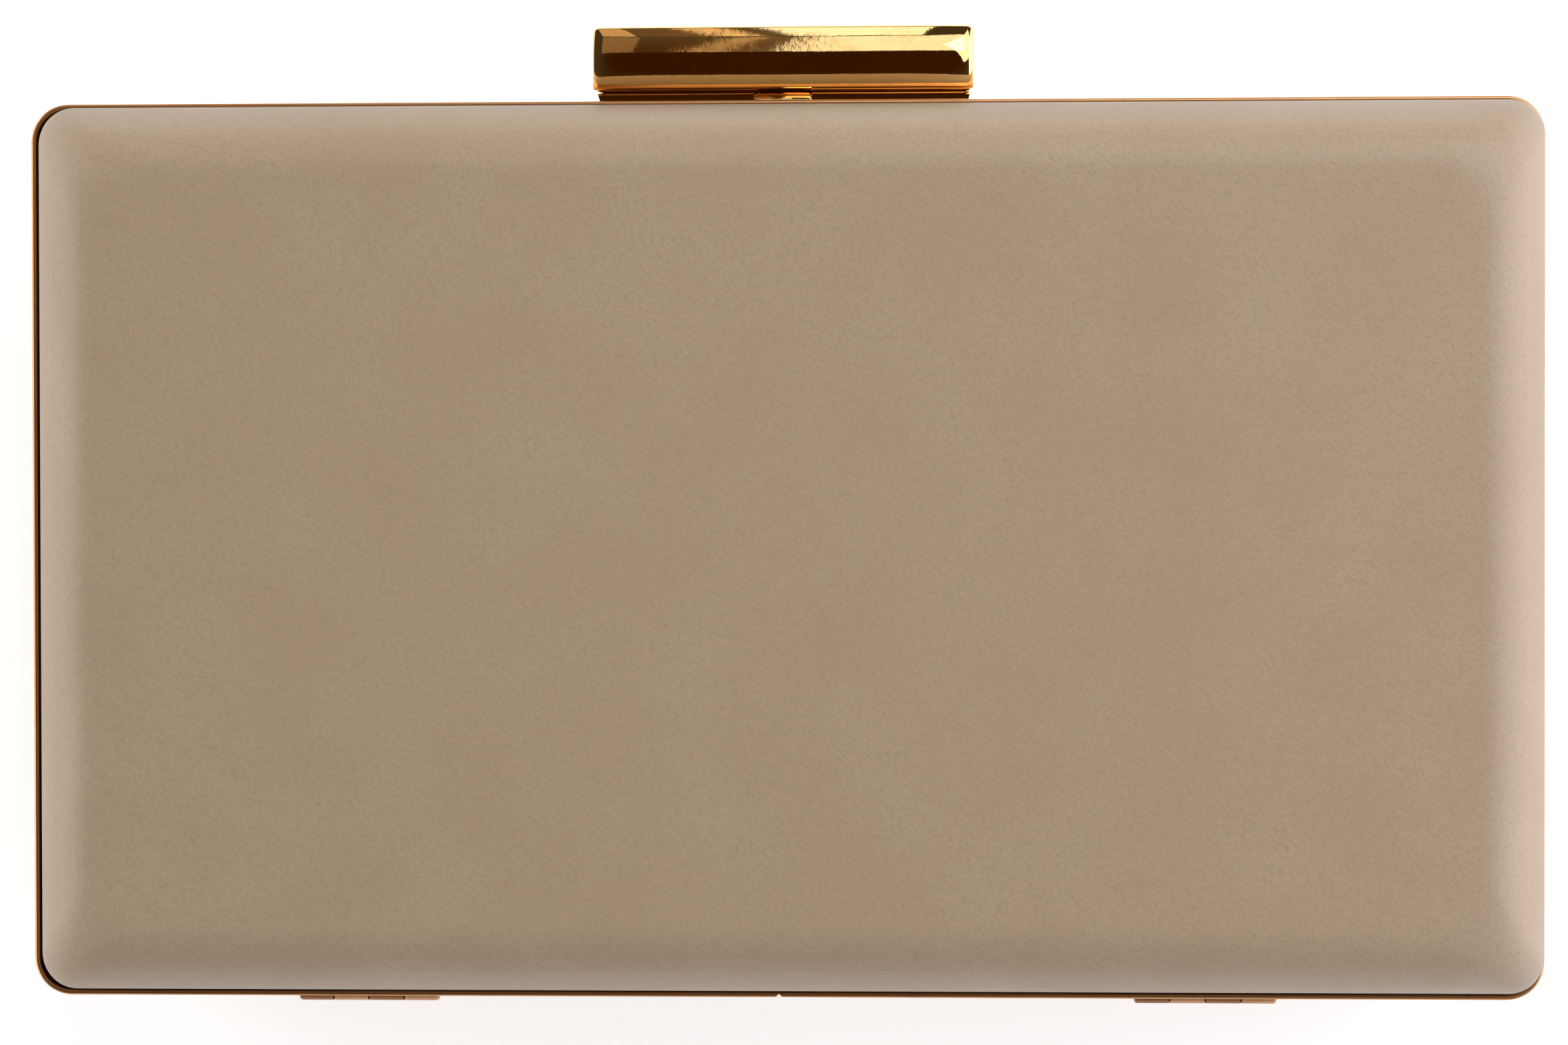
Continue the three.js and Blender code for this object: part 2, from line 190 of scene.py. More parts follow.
def feed(tree, node, inputs):
    """Sets a node's inputs to values, or joins them to other nodes' outputs."""
    for key, value in inputs.items():
        if isinstance(value, bpy.types.NodeSocket):
            tree.links.new(value, node.inputs[key])
        else:
            node.inputs[key].default_value = value


def add_node(tree, kind, inputs=None, **settings):
    """A node with its settings made and its inputs fed."""
    node = tree.nodes.new(kind)
    for setting, value in settings.items():
        setattr(node, setting, value)
    feed(tree, node, inputs or {})
    return node


def object_place(tree):
    return add_node(tree, "ShaderNodeTexCoord").outputs["Object"]


def height_of(tree, place):
    return add_node(tree, "ShaderNodeSeparateXYZ", {"Vector": place}).outputs["Z"]


def stretched(tree, place, turn_deg, stretch):
    """The place turned about Z and stretched, so that a pattern on it runs along one direction."""
    turn = (0.0, 0.0, math.radians(turn_deg))
    inputs = {"Vector": place, "Rotation": turn, "Scale": (stretch, 1.0, 1.0)}
    return add_node(tree, "ShaderNodeMapping", inputs, vector_type="TEXTURE").outputs["Vector"]


def clouds(tree, place, size, detail=2.0, roughness=0.5, distortion=0.0):
    """Soft noise whose blotches are about the given size in metres."""
    inputs = {"Vector": place, "Scale": 1 / size, "Detail": detail}
    inputs |= {"Roughness": roughness, "Distortion": distortion}
    return add_node(tree, "ShaderNodeTexNoise", inputs).outputs["Fac"]


def cells(tree, place, size):
    """Distance to the middle of the nearest cell, with cells of about the given size in metres."""
    inputs = {"Vector": place, "Scale": 1 / size, "Randomness": 1.0}
    return add_node(tree, "ShaderNodeTexVoronoi", inputs, feature="F1").outputs["Distance"]


def spread(tree, value, span, onto=(0.0, 1.0)):
    """A span of a value, moved onto another span."""
    inputs = {"Value": value, "From Min": span[0], "From Max": span[1]}
    inputs |= {"To Min": onto[0], "To Max": onto[1]}
    return add_node(tree, "ShaderNodeMapRange", inputs).outputs["Result"]


def combine(tree, operation, first, second=0.0):
    return add_node(tree, "ShaderNodeMath", {0: first, 1: second}, operation=operation).outputs["Value"]


def blend_tones(tree, share, first, second):
    """The first tone where the share is 0, and the second where it is 1."""
    node = add_node(tree, "ShaderNodeMix", data_type="RGBA")
    tree.links.new(share, node.inputs["Factor"])
    for name, tone in {"A": first, "B": second}.items():
        socket = next(s for s in node.inputs if s.name == name and s.type == "RGBA")
        if isinstance(tone, bpy.types.NodeSocket):
            tree.links.new(tone, socket)
        else:
            socket.default_value = (*tone, 1.0)
    return next(s for s in node.outputs if s.type == "RGBA")


def relief(tree, height, depth, strength, under=None):
    """A bump of the given depth in metres, laid over another bump."""
    inputs = {"Height": height, "Distance": depth, "Strength": strength}
    if under is not None:
        inputs["Normal"] = under
    return add_node(tree, "ShaderNodeBump", inputs).outputs["Normal"]


# Finishes

# Where most of a noise's values lie
NOISE_SPAN = (0.3, 0.7)

LEATHER = SimpleNamespace(
    slant_deg=-42,
    stretch=1.8,
    wrinkle=0.30 * MM,
    pebble=0.46 * MM,
    pebble_share=0.35,
    # Where the grain's creases take painted shade, and how much of it
    crease_shade_span=(0.45, -0.05),
    crease_shade_share=(0.0, 0.8),
    grain_depth=0.06 * MM,
    cloud=14 * MM,
    roughness=(0.485, 0.515),
)

BOARD = SimpleNamespace(
    slant_deg=12,
    stretch=6.0,
    fibre=0.6 * MM,
    fibre_span=(0.35, 0.7),
    fibre_depth=0.03 * MM,
    mottle=9 * MM,
    mottle_span=(0.2, 0.8),
    roughness=(0.72, 0.9),
)

# Painted shade in the hinges' joints: the size of its blotches, where they are paler, and its roughness
JOINT_SHADE = SimpleNamespace(blotch=0.25 * MM, blotch_span=(0.45, 0.75), roughness=(0.75, 0.55))

# Wear of the gold: the sizes of its marks, and how deep and strong their relief is
Relief = namedtuple("Relief", "depth strength")
GOLD = SimpleNamespace(
    smudge=7 * MM,
    smudge_span=(0.45, 0.7),
    speckle=0.8 * MM,
    speckle_span=(0.35, 0.65),
    dulling=0.07,
    scratch=0.12 * MM,
    scratch_stretch=45.0,
    scratch_relief=Relief(0.004 * MM, 0.25),
    wave=9 * MM,
    wave_relief=Relief(0.004 * MM, 0.35),
    pit_relief=Relief(0.01 * MM, 0.3),
)

# The platings: how rough each is where it is clean, and how far it is worn
Plating = namedtuple("Plating", "polish wear")
PLATINGS = {
    "clasp": Plating(polish=0.03, wear=1.0),
    "rim": Plating(polish=0.36, wear=0.6),
    # The knuckle and rubbed platings are one plating, darkened as painted shade and paled as painted
    # highlight
    "knuckle": Plating(polish=0.42, wear=0.6),
    "highlit": Plating(polish=0.42, wear=0.6),
}

FLOOR_CLOUD = 0.25
FLOOR_GLOW = 0.5


def leather_look(tree, sizes, colours):
    """Satin leather with clouds of tone, slanting wrinkles between small pebbles, painted shade darkening
    the grain's creases, and painted shade darkening the leather where it tucks into the rim.
    """
    place = object_place(tree)
    slanted = stretched(tree, place, LEATHER.slant_deg, LEATHER.stretch)
    wrinkles = clouds(tree, slanted, LEATHER.wrinkle, detail=1.0, roughness=0.6)
    pebbles = cells(tree, slanted, LEATHER.pebble)
    grain = combine(tree, "SUBTRACT", wrinkles, combine(tree, "MULTIPLY", pebbles, LEATHER.pebble_share))
    broad = clouds(tree, place, LEATHER.cloud)
    tone = blend_tones(tree, spread(tree, broad, NOISE_SPAN), colours.leather, colours.leather_shade)
    # Painted shade in the grain's creases
    crease_shade = spread(tree, grain, LEATHER.crease_shade_span, LEATHER.crease_shade_share)
    tone = blend_tones(tree, crease_shade, tone, colours.leather_crease_shade)
    height = combine(tree, "ABSOLUTE", combine(tree, "SUBTRACT", height_of(tree, place), PARTING))
    # Painted shade: the leather darkens towards the rim's lip
    tuck_shade = spread(tree, height, (RIM_DEPTH + sizes.tuck_shade_height, RIM_DEPTH))
    return {
        "Base Color": blend_tones(tree, tuck_shade, tone, colours.leather_tuck_shade),
        "Roughness": spread(tree, broad, NOISE_SPAN, LEATHER.roughness),
        "Normal": relief(tree, grain, LEATHER.grain_depth, 0.6),
        "Specular IOR Level": 0.45,
        "Sheen Weight": 0.02,
        "Sheen Roughness": 0.45,
    }


def inside_look(tree, colours):
    """Bare inner face of a shell: matt board with faint fibres."""
    place = object_place(tree)
    fibres = clouds(tree, stretched(tree, place, BOARD.slant_deg, BOARD.stretch), BOARD.fibre, detail=4.0)
    mottle = clouds(tree, place, BOARD.mottle, detail=3.0)
    mottled = spread(tree, mottle, BOARD.mottle_span, (0.5, 1.0))
    share = combine(tree, "MULTIPLY", spread(tree, fibres, BOARD.fibre_span), mottled)
    return {
        "Base Color": blend_tones(tree, share, colours.inside, colours.inside_fibre),
        "Roughness": spread(tree, fibres, NOISE_SPAN, BOARD.roughness),
        "Normal": relief(tree, fibres, BOARD.fibre_depth, 0.6),
        "Specular IOR Level": 0.3,
    }


def joint_shade_look(tree, colours):
    """Dark finish of painted shade in the hinges' joints, blotchy and a little paler in places."""
    blotches = clouds(tree, object_place(tree), JOINT_SHADE.blotch, detail=3.0)
    thin = spread(tree, blotches, JOINT_SHADE.blotch_span)
    return {
        "Base Color": blend_tones(tree, thin, colours.joint_shade, colours.joint_shade_blotch),
        "Roughness": spread(tree, blotches, NOISE_SPAN, JOINT_SHADE.roughness),
        "Specular IOR Level": 0.2,
    }


def gold_look(tree, tone, smudge_tone, plating):
    """Gold plating with smudges, fine lengthwise scratches and small pits, as far as it is worn."""
    place = object_place(tree)
    smudges = clouds(tree, place, GOLD.smudge, detail=4.0, roughness=0.6, distortion=0.4)
    speckle = clouds(tree, place, GOLD.speckle, detail=3.0, roughness=0.6)
    speckled = spread(tree, speckle, GOLD.speckle_span)
    dull = combine(tree, "MULTIPLY", spread(tree, smudges, GOLD.smudge_span), speckled)
    dullest = plating.polish + GOLD.dulling * plating.wear
    scratches = clouds(tree, stretched(tree, place, 0, GOLD.scratch_stretch), GOLD.scratch)
    marks = (
        (clouds(tree, place, GOLD.wave), GOLD.wave_relief),
        (scratches, GOLD.scratch_relief),
        (dull, GOLD.pit_relief),
    )
    worn = None
    for mark, shape in marks:
        worn = relief(tree, mark, shape.depth, shape.strength * plating.wear, worn)
    return {
        "Base Color": blend_tones(tree, dull, tone, smudge_tone),
        "Roughness": spread(tree, dull, (0.0, 1.0), (plating.polish, dullest)),
        "Normal": worn,
        "Metallic": 1.0,
    }


def floor_look(tree, colours):
    """Plain pale floor with faint clouds, which glows a little so that it stays pale."""
    share = clouds(tree, object_place(tree), FLOOR_CLOUD, detail=3.0)
    return {
        "Base Color": blend_tones(tree, share, colours.floor, colours.floor_cloud),
        "Roughness": 0.9,
        "Specular IOR Level": 0.1,
        "Emission Color": (1.0, 1.0, 1.0, 1.0),
        "Emission Strength": FLOOR_GLOW,
    }


def finish(name, look, *details):
    """A material that is made once, under its name, and shared by its pieces."""
    material = bpy.data.materials.get(name)
    if material is None:
        material = bpy.data.materials.new(name)
        material.use_nodes = True
        tree = material.node_tree
        feed(tree, tree.nodes["Principled BSDF"], look(tree, *details))
    return material


def gold(kind, colours):
    """The plating of the clasp, of the rims, or of knuckles that are dark or rubbed."""
    tone = getattr(colours, f"{kind}_gold")
    smudge_tone = getattr(colours, f"{kind}_smudge")
    return finish(f"{kind}_gold_finish", gold_look, tone, smudge_tone, PLATINGS[kind])


# Shared modelling steps

# Distance between two rings while they are joined
RING_SPREAD = 30 * MM

# Points closer than this are one point, and lengths under this are nothing
MERGE_DISTANCE = 0.001 * MM
NOTHING = 1e-7

EDGE_STEPS = 2
TURN_STEPS = 40
TURNED_ROUND_STEPS = 4


def add_object(name, data):
    """A new object in the scene, at the origin."""
    thing = bpy.data.objects.new(name, data)
    bpy.context.scene.collection.objects.link(thing)
    return thing


def new_piece(name, bm, *materials):
    """A piece from a finished bmesh, with its place in its mesh."""
    mesh = bpy.data.meshes.new(name)
    bm.to_mesh(mesh)
    bm.free()
    for material in materials:
        mesh.materials.append(material)
    return add_object(name, mesh)


def hand_over(piece, body, node, sharp_deg=32):
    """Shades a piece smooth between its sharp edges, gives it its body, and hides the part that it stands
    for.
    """
    piece.data.shade_smooth()
    piece.data.set_sharp_from_angle(angle=math.radians(sharp_deg))
    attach(piece, body)
    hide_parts(node)


def carve(piece, tool_mesh, operation):
    """Joins a shape to a piece, or cuts it away, in the piece's own mesh."""
    tool = new_piece("carving_tool", tool_mesh)
    modifier = piece.modifiers.new("carve", "BOOLEAN")
    modifier.operation = operation
    modifier.solver = "EXACT"
    modifier.object = tool
    depsgraph = bpy.context.evaluated_depsgraph_get()
    carved = bpy.data.meshes.new_from_object(piece.evaluated_get(depsgraph))
    if not carved.polygons:
        raise RuntimeError(f"carving {piece.name} left nothing of it")
    piece.modifiers.remove(modifier)
    uncarved = piece.data
    piece.data = carved
    spent = tool.data
    bpy.data.objects.remove(tool)
    bpy.data.meshes.remove(spent)
    bpy.data.meshes.remove(uncarved)
    carved.name = piece.name


def reach_from_parting(low, high):
    """How far the nearer and the further face of a box lie from the parting plane."""
    return sorted((abs(low.z - PARTING), abs(high.z - PARTING)))


def levels(side, first, second):
    """Two distances from the parting plane, on one side of it, as heights with the lower one first."""
    return sorted((PARTING + side * first, PARTING + side * second))


def round_off(bm, parts, width, steps, affect):
    bmesh.ops.bevel(
        bm, geom=parts, offset=width, offset_type="OFFSET",
        affect=affect, segments=steps, profile=0.5, material=-1,
    )


def rectangle(bm, width, height, middle):
    """A face that lies in the XY plane: its corners."""
    corners = bmesh.ops.create_grid(bm, x_segments=1, y_segments=1, size=0.5)["verts"]
    bmesh.ops.scale(bm, vec=(width, height, 1.0), verts=corners)
    bmesh.ops.translate(bm, vec=middle, verts=corners)
    return corners


def loop_of_only_face(bm):
    """The edges around the bmesh's one face, which is taken away."""
    face = next(iter(bm.faces))
    edges = list(face.edges)
    bmesh.ops.delete(bm, geom=[face], context="FACES_ONLY")
    return edges


def outline_ring(bm, low, high, radius, z, steps):
    """One closed loop of edges at a height: a rectangle from low to high with rounded corners."""
    middle = ((low.x + high.x) / 2, (low.y + high.y) / 2, z)
    corners = rectangle(bm, high.x - low.x, high.y - low.y, middle)
    round_off(bm, corners, radius, steps, "VERTICES")
    return loop_of_only_face(bm)


def bridge_rings(bm, rings, axis, closed=False, material=0):
    """Faces between each ring and the next, and from the last to the first if the section is closed.

    Rings almost in one plane would be joined crosswise, so all are drawn apart along the axis meanwhile.
    """
    groups = [{vert for edge in ring for vert in edge.verts} for ring in rings]
    places = [(vert, vert.co.copy()) for group in groups for vert in group]
    for index, group in enumerate(groups):
        bmesh.ops.translate(bm, vec=axis * (RING_SPREAD * index), verts=list(group))
    pairs = list(zip(rings, rings[1:]))
    if closed:
        pairs.append((rings[-1], rings[0]))
    for lower, upper in pairs:
        for face in bmesh.ops.bridge_loops(bm, edges=lower + upper)["faces"]:
            face.material_index = material
    for vert, place in places:
        vert.co = place


def cap_ring(bm, ring, material=0):
    for face in bmesh.ops.edgeloop_fill(bm, edges=ring)["faces"]:
        face.material_index = material


def close_up(bm):
    """Merges what meets and turns every face outwards."""
    bmesh.ops.remove_doubles(bm, verts=bm.verts, dist=MERGE_DISTANCE)
    bmesh.ops.recalc_face_normals(bm, faces=bm.faces)


def block(low, high, break_width=0.0):
    """A box between two corners, with its edges rounded off where a width is given."""
    bm = bmesh.new()
    verts = bmesh.ops.create_cube(bm, size=1.0)["verts"]
    bmesh.ops.scale(bm, vec=high - low, verts=verts)
    bmesh.ops.translate(bm, vec=(low + high) / 2, verts=verts)
    if break_width > 0:
        round_off(bm, list(bm.edges), break_width, EDGE_STEPS, "EDGES")
    return bm


def turned(x_low, x_high, inner, outer, axis, low_round, high_round):
    """A rod or tube along X, turned from a profile with rounded ends: a rod has no inner radius."""
    axis_y, axis_z = axis
    bm = bmesh.new()
    middle = Vector(((x_low + x_high) / 2, axis_y - (inner + outer) / 2, axis_z))
    corners = rectangle(bm, x_high - x_low, outer - inner, middle)
    rims = [vert for vert in corners if vert.co.y < middle.y]
    rims.sort(key=lambda vert: vert.co.x)
    for rim, rounding in zip(rims, (low_round, high_round)):
        round_off(bm, [rim], rounding, TURNED_ROUND_STEPS, "VERTICES")
    profile = loop_of_only_face(bm)
    if inner == 0:
        on_axis = [edge for edge in profile if all(abs(v.co.y - axis_y) < NOTHING for v in edge.verts)]
        bmesh.ops.delete(bm, geom=on_axis, context="EDGES")
    bmesh.ops.spin(
        bm, geom=list(bm.verts) + list(bm.edges), cent=(0.0, axis_y, axis_z), axis=ALONG_X,
        angle=FULL_TURN, steps=TURN_STEPS, use_merge=True,
    )
    close_up(bm)
    return bm


# Leather shells

RollRow = namedtuple("RollRow", "inset height radius")
ROLL_STEPS = 26
CROWN_STEPS = 7
CORNER_STEPS = 14

# Place of the inner faces' finish after the leather
INSIDE_FINISH = 1

# Share of the way from the rolled border to the middle over which the panel rises
CROWN_REACH = 0.8


def roll_rows(sizes, panel_height, below):
    """Rows of the rolled border at a depth under its outer face, from the straight wall to the panel."""
    rise = panel_height - sizes.wall_top - below
    rows = []
    for step in range(ROLL_STEPS + 1):
        angle = (step / ROLL_STEPS) * math.pi / 2
        outwards = math.cos(angle)
        outer_radius = sizes.shell_corner + (sizes.panel_corner - sizes.shell_corner) * (1 - outwards)
        inset = sizes.roll_width * (1 - outwards) + below * outwards
        height = sizes.wall_top + rise * math.sin(angle)
        rows.append(RollRow(inset, height, outer_radius - below * outwards))
    return rows


def crown_rows(sizes, last, half_height):
    """Rows of the panel inside its rolled border, rising gently towards the middle."""
    reach = (half_height - last.inset) * CROWN_REACH
    rows = []
    for step in range(1, CROWN_STEPS + 1):
        share = step / CROWN_STEPS
        height = last.height + sizes.panel_crown * (1 - (1 - share) ** 2)
        rows.append(RollRow(last.inset + reach * share, height, last.radius))
    return rows


def shell_piece(half, sizes, colours):
    """One leather-covered half shell, hollow, with bare inner faces."""
    side = HALVES[half]
    low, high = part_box(f"{half}_shell")
    base, top = reach_from_parting(low, high)
    low = low + Vector((sizes.left_gap, -sizes.hinge_reach, 0))
    high = high + Vector((0, sizes.clasp_reach, 0))
    bulge = Vector((sizes.right_bulge, sizes.clasp_bulge, 0))
    outer = roll_rows(sizes, top - sizes.panel_crown, 0.0)
    outer += crown_rows(sizes, outer[-1], (high.y - low.y) / 2)
    outer.insert(0, outer[0]._replace(height=base))
    inner = roll_rows(sizes, top - sizes.panel_crown, sizes.shell_wall)
    inner.insert(0, inner[0]._replace(height=base))
    bm = bmesh.new()

    def ring(row):
        margin = Vector((row.inset, row.inset, 0))
        bulged = min(max((row.height - RIM_DEPTH) / sizes.bulge_rise, 0.0), 1.0)
        reach = high + bulge * math.sin(bulged * math.pi / 2)
        z = PARTING + side * row.height
        return outline_ring(bm, low + margin, reach - margin, row.radius, z, CORNER_STEPS)

    outer_rings = [ring(row) for row in outer]
    inner_rings = [ring(row) for row in inner]
    bridge_rings(bm, outer_rings, UPWARDS)
    bridge_rings(bm, [outer_rings[0], *inner_rings], UPWARDS, material=INSIDE_FINISH)
    cap_ring(bm, outer_rings[-1])
    cap_ring(bm, inner_rings[-1], material=INSIDE_FINISH)
    close_up(bm)
    leather = finish("taupe_leather_finish", leather_look, sizes, colours)
    inside = finish("inside_board_finish", inside_look, colours)
    piece = new_piece(f"{half}_shell_leather", bm, leather, inside)
    hand_over(piece, HALF_BODIES[half], f"{half}_shell", sharp_deg=50)


# Gold rims

RimRow = namedtuple("RimRow", "inset height")
LIP_STEPS = 14

# Share of an edge's rounding at which its middle lies from the sharp corner
ROUND_MIDDLE = 0.3

# Cuts on each side of the seam's middle, and how sharply its groove dips
SEAM_CUTS = 4
SEAM_POWER = 1.6


def rim_rows(sizes):
    """Rows of the rim's section: up the outer wall, over the rounded lip, and down to the flange."""
    lip = sizes.rim_wall / 2
    soft = sizes.edge_break
    flange_top = RIM_BASE + sizes.flange_thickness
    rows = [
        RimRow(soft, RIM_BASE),
        RimRow(soft * ROUND_MIDDLE, RIM_BASE + soft * ROUND_MIDDLE),
        RimRow(0.0, RIM_BASE + soft),
    ]
    for step in range(LIP_STEPS + 1):
        angle = math.pi * (1 - step / LIP_STEPS)
        rows.append(RimRow(lip + lip * math.cos(angle), RIM_DEPTH - lip + lip * math.sin(angle)))
    rows += [
        RimRow(sizes.rim_wall, flange_top + soft),
        RimRow(sizes.rim_wall + soft, flange_top),
        RimRow(sizes.flange_width - soft, flange_top),
        RimRow(sizes.flange_width, flange_top - soft),
        RimRow(sizes.flange_width, RIM_BASE + soft),
        RimRow(sizes.flange_width - soft, RIM_BASE),
    ]
    return rows


def press_seam(bm, sizes):
    """Presses the groove of the strip's butt seam into the outer wall, in the middle of the hinge edge."""
    reach = HINGE_EDGE + sizes.flange_width
    for step in range(-SEAM_CUTS, SEAM_CUTS + 1):
        x = sizes.seam_place + sizes.seam_width * step / SEAM_CUTS
        near = [face for face in bm.faces if face.calc_center_median().y < reach]
        edges = {edge for face in near for edge in face.edges}
        verts = {vert for face in near for vert in face.verts}
        bmesh.ops.bisect_plane(bm, geom=[*verts, *edges, *near], plane_co=(x, 0.0, 0.0), plane_no=ALONG_X)
    for vert in bm.verts:
        aside = abs(vert.co.x - sizes.seam_place) / sizes.seam_width
        inwards = (vert.co.y - HINGE_EDGE) / sizes.rim_wall
        if aside < 1 and inwards < 1:
            vert.co.y += sizes.seam_depth * (1 - aside) ** SEAM_POWER * (1 - inwards)


def hinge_pockets(place, half, sizes):
    """Cutters for a leaf in the rim's wall and for the knuckles in its flange."""
    leaf_low, leaf_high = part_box(f"hinge_{place}_{half}_leaf")
    gap = sizes.leaf_gap
    outside = HINGE_EDGE - sizes.rim_wall
    wall_reach = HINGE_EDGE + sizes.rim_wall + sizes.leaf_clearance
    knuckle_reach = leaf_high.y + sizes.leaf_clearance
    leaf_top = reach_from_parting(leaf_low, leaf_high)[1] + gap
    flange_top = RIM_BASE + sizes.flange_thickness + gap
    cutters = []
    for reach, top in ((wall_reach, leaf_top), (knuckle_reach, flange_top)):
        z_low, z_high = levels(HALVES[half], -sizes.flange_thickness, top)
        low = Vector((leaf_low.x - gap, outside, z_low))
        high = Vector((leaf_high.x + gap, reach, z_high))
        cutters.append(block(low, high))
    return cutters


def rim_piece(half, sizes, colours):
    """One thin gold rim: a wall with a rounded lip, a flange, two hinge pockets and the strip's seam."""
    bm = bmesh.new()
    rings = []
    for row in rim_rows(sizes):
        margin = Vector((row.inset, row.inset, 0))
        radius = sizes.rim_corner - row.inset
        z = PARTING + HALVES[half] * row.height
        rings.append(outline_ring(bm, RIM_LOW + margin, RIM_HIGH - margin, radius, z, CORNER_STEPS))
    bridge_rings(bm, rings, UPWARDS, closed=True)
    close_up(bm)
    press_seam(bm, sizes)
    piece = new_piece(f"{half}_rim_gold", bm, gold("rim", colours))
    for place in HINGE_PLACES:
        for cutter in hinge_pockets(place, half, sizes):
            carve(piece, cutter, "DIFFERENCE")
    hand_over(piece, HALF_BODIES[half], f"{half}_rim")


# Hinges

Knuckle = namedtuple("Knuckle", "start end half start_round end_round")
# Front knuckles take the paler plating as painted highlight, back knuckles the darker one as painted shade
KNUCKLE_PLATINGS = {"front": "highlit", "back": "knuckle"}

# Places of a leaf's finishes after its plate's, and how squarely a face must look along the hinge to take
# the joints' painted shade
KNUCKLE_FINISH = 1
JOINT_SHADE_FINISH = 2
END_FACING = 0.5

# Share of the rims' edge break on a leaf, and of a pin's radius on its ends
LEAF_EDGE = 0.6
PIN_END_ROUND = 0.35


def knuckle_spans(place, sizes):
    """The knuckles along a hinge, which belong to the two halves by turns."""
    low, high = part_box(f"hinge_{place}_pin")
    pitch = (high.x - low.x + sizes.knuckle_gap) / sizes.knuckle_count
    last = sizes.knuckle_count - 1
    spans = []
    for index in range(sizes.knuckle_count):
        start = low.x + index * pitch
        end = start + pitch - sizes.knuckle_gap
        half = "back" if index % 2 == 0 else "front"
        start_round = sizes.hinge_end_round if index == 0 else sizes.knuckle_round
        end_round = sizes.hinge_end_round if index == last else sizes.knuckle_round
        spans.append(Knuckle(start, end, half, start_round, end_round))
    return spans


def leaf_piece(place, half, sizes, colours):
    """One hinge leaf: a plate let into the rim, with the knuckles that curl round the pin."""
    side = HALVES[half]
    node = f"hinge_{place}_{half}_leaf"
    low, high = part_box(node)
    edge = sizes.edge_break * LEAF_EDGE
    inner_face = HINGE_EDGE + sizes.rim_wall
    radius = high.y - HINGE_EDGE
    plate_base = radius + sizes.leaf_clearance
    plate_low, plate_high = levels(side, plate_base, reach_from_parting(low, high)[1])
    plate = block(Vector((low.x, HINGE_EDGE, plate_low)), Vector((high.x, inner_face, plate_high)), edge)
    plating = gold(KNUCKLE_PLATINGS[half], colours)
    # Painted shade for the knuckles' end faces inside the hinge
    joint_shade = finish("joint_shade_finish", joint_shade_look, colours)
    piece = new_piece(f"{node}_gold", plate, gold("rim", colours), plating, joint_shade)
    web_low, web_high = levels(side, (PIN_RADIUS + radius) / 2, plate_base + sizes.leaf_clearance)
    for knuckle in knuckle_spans(place, sizes):
        if knuckle.half != half:
            continue
        web = block(
            Vector((knuckle.start + edge, HINGE_EDGE + edge, web_low)),
            Vector((knuckle.end - edge, inner_face - edge, web_high)),
        )
        carve(piece, web, "UNION")
        bore = PIN_RADIUS + sizes.pin_clearance
        rounds = (knuckle.start_round, knuckle.end_round)
        carve(piece, turned(knuckle.start, knuckle.end, bore, radius, HINGE_AXIS, *rounds), "UNION")
    finish_knuckles(piece, radius, low.x + sizes.hinge_end_round, high.x - sizes.hinge_end_round)
    hand_over(piece, HALF_BODIES[half], node)


def finish_knuckles(piece, radius, x_low, x_high):
    """Gives the knuckles their own plating, which is painted darker or paler as shade or highlight, and a
    dark finish of painted shade to their end faces inside a hinge.
    """
    for face in piece.data.polygons:
        if math.dist(face.center[1:], HINGE_AXIS) > radius:
            continue
        shaded_joint = abs(face.normal.x) > END_FACING and x_low < face.center.x < x_high
        face.material_index = JOINT_SHADE_FINISH if shaded_joint else KNUCKLE_FINISH


def pin_piece(place, colours):
    """One hinge pin with rounded ends."""
    node = f"hinge_{place}_pin"
    low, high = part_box(node)
    rounding = PIN_RADIUS * PIN_END_ROUND
    bm = turned(low.x, high.x, 0.0, PIN_RADIUS, HINGE_AXIS, rounding, rounding)
    piece = new_piece(f"{node}_gold", bm, gold("knuckle", colours))
    hand_over(piece, "base", node, sharp_deg=60)


# Clasp

BarRow = namedtuple("BarRow", "x width depth")
BAR_CROWN_STEPS = 26
BAR_CORNER_STEPS = 5
BAR_DOME_STEPS = 4
BAR_END_STEPS = 20
BAR_MIDDLE_STEPS = 12

# The bar's ends: shares of its width and depth, roundness of the thinning, and height of the end's dome
BAR_END_WIDTH = 0.91
BAR_END_DEPTH = 0.68
BAR_END_POWER = 2.2
BAR_END_DOME = 0.12 * MM

# Share of its narrowing by which an end of the bar lies closer to the rim
BAR_END_DROP = 0.45

# Turns a shape in the XY plane into the YZ plane
INTO_SECTION = Matrix(((0, 0, 1), (1, 0, 0), (0, 1, 0)))

# Share of the foot strip's length that it keeps at the rim, and of the rail's radius on its ends
FOOT_TAPER = 0.98
RAIL_END_ROUND = 0.3

# How far the striker's top edge lies behind its front foot, and the width of its bevels
STRIKER_SLOPE = 1.7 * MM
STRIKER_BEVEL = 0.28 * MM


def rail_y(sizes):
    """Place of the rail's axis: the rail is the top of the foot."""
    return FOOT_HIGH.y - sizes.rail_radius


